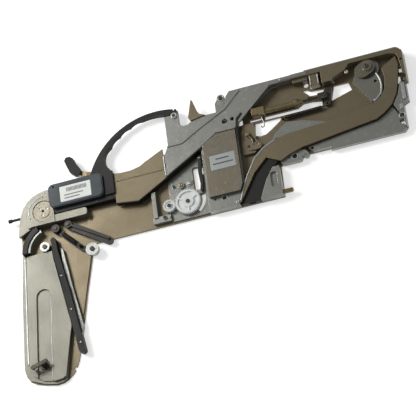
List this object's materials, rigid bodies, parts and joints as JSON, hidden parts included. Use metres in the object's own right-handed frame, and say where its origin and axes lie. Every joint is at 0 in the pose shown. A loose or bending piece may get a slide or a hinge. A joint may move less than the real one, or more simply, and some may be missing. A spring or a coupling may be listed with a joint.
{
  "type": "smt tape feeder",
  "caption": "Reel-fed component tape feeder for a pick and place machine, with side covers, carrying handle, control box, gear pair, tape sprocket and hanging reel holder, lying on its back face.",
  "frame": {"origin": "centre of the plan bounding box on the plane of the back face, with the feeder lying flat on that face", "axes": "+X along the feeder to the pick-up end, +Y the feeder's own up, from the reel to the tape's top face, +Z out of the open side"},
  "size_m": [0.6294, 0.391, 0.0231],
  "materials": {
    "frame_brown": "satin",
    "reel_grey": "satin",
    "cast_grey": "matte",
    "cover_brown": "satin",
    "black_plastic": "matte",
    "slate_plastic": "matte",
    "label_white": "satin",
    "label_grey": "satin",
    "gear_white": "satin",
    "steel_dark": "satin",
    "steel_bright": "bright",
    "brass": "satin",
    "black_steel": "semi-gloss",
    "contact": "bright"
  },
  "bodies": {
    "body": {"main_frame": "frame_brown", "reel_back_plate": "frame_brown", "reel_face_plate": "reel_grey", "reel_spindle": "steel_dark", "tape_strip": "black_plastic", "strip_flange": "cast_grey", "side_panel": "frame_brown", "arm_pivots": "steel_dark", "rear_side_plate": "reel_grey", "hub_disc": "cover_brown", "rear_arc_guide": "black_plastic", "rear_inner_guide": "cast_grey", "roller_1_axle": "steel_dark", "control_base": "black_plastic", "control_cover": "slate_plastic", "control_label": "label_white", "handle": "black_plastic", "handle_bracket": "cast_grey", "supply_cover": "frame_brown", "supply_channel": "cast_grey", "pointed_lug": "frame_brown", "gear_plate": "cast_grey", "step_bracket": "cast_grey", "gear_axles": "steel_dark", "drive_base": "cast_grey", "drive_cover": "cover_brown", "drive_label": "label_grey", "drive_motor": "steel_dark", "valve_plate": "frame_brown", "air_cylinder": "brass", "return_spring": "black_steel", "flat_cable": "black_plastic", "top_rail": "frame_brown", "tape_cover": "cast_grey", "sprocket_flange": "cover_brown", "return_sector": "reel_grey", "return_cover": "frame_brown", "inner_guide": "cast_grey", "exit_chute": "black_plastic", "foot_block": "cast_grey", "locating_pin": "brass", "lower_bracket": "cast_grey", "lower_cover": "cast_grey", "front_block": "cast_grey", "front_connector": "contact"},
    "spindle_latch": {"spindle_latch": "steel_dark"},
    "roller_1": {"roller_1": "steel_bright"},
    "dancer": {"dancer_arm": "black_steel", "tension_spring": "black_steel"},
    "roller_2": {"roller_2": "steel_bright"},
    "guide_arm": {"guide_arm": "black_steel"},
    "lock_pin": {"lock_pin": "steel_dark"},
    "clamp_lever": {"clamp_stem": "brass", "clamp_knob": "black_plastic"},
    "gear_big": {"gear_big": "gear_white"},
    "gear_small": {"gear_small": "gear_white"},
    "peel_lever": {"peel_lever": "black_steel"},
    "piston": {"piston_link": "steel_dark"},
    "sprocket": {"sprocket": "steel_bright"}
  },
  "joints": [
    {"name": "reel_latch_turn", "type": "hinge", "parent": "body", "child": "spindle_latch", "pos_m": [-0.28225, -0.1625, 0.012], "axis": [0, 0, 1], "range_deg": [0, 90]},
    {"name": "roller_1_spin", "type": "hinge", "parent": "body", "child": "roller_1", "pos_m": [-0.26175, 0.0204, 0.008], "axis": [0, 0, 1], "continuous": true},
    {"name": "dancer_swing", "type": "hinge", "parent": "body", "child": "dancer", "pos_m": [-0.24225, 0.0455, 0.008], "axis": [0, 0, 1], "range_deg": [-20, 2], "stiffness_Nm_per_rad": 0.05},
    {"name": "roller_2_spin", "type": "hinge", "parent": "dancer", "child": "roller_2", "pos_m": [-0.18825, -0.0025, 0.011], "axis": [0, 0, 1], "continuous": true},
    {"name": "guide_arm_swing", "type": "hinge", "parent": "body", "child": "guide_arm", "pos_m": [-0.22225, 0.0475, 0.008], "axis": [0, 0, 1], "range_deg": [0, 15]},
    {"name": "lock_pin_slide", "type": "slide", "parent": "body", "child": "lock_pin", "axis": [1, 0, 0], "range_m": [-0.01, 0]},
    {"name": "clamp_turn", "type": "hinge", "parent": "body", "child": "clamp_lever", "pos_m": [-0.18125, 0.1195, 0.008], "axis": [0, 0, 1], "range_deg": [-35, 10]},
    {"name": "gear_big_spin", "type": "hinge", "parent": "body", "child": "gear_big", "pos_m": [-0.03525, 0.036, 0.01], "axis": [0, 0, 1], "continuous": true},
    {"name": "gear_small_spin", "type": "hinge", "parent": "body", "child": "gear_small", "pos_m": [-0.06405, 0.036, 0.01], "axis": [0, 0, 1], "continuous": true},
    {"name": "peel_lever_swing", "type": "hinge", "parent": "body", "child": "peel_lever", "pos_m": [-0.00975, 0.1005, 0.008], "axis": [0, 0, 1], "range_deg": [-5, 2.5]},
    {"name": "piston_stroke", "type": "slide", "parent": "body", "child": "piston", "axis": [1, 0, 0], "range_m": [0, 0.008]},
    {"name": "sprocket_spin", "type": "hinge", "parent": "body", "child": "sprocket", "pos_m": [0.26025, 0.1745, 0.009], "axis": [0, 0, 1], "continuous": true}
  ],
  "couplings": [
    {"joint": "gear_small_spin", "follows": "gear_big_spin", "ratio": -2}
  ]
}
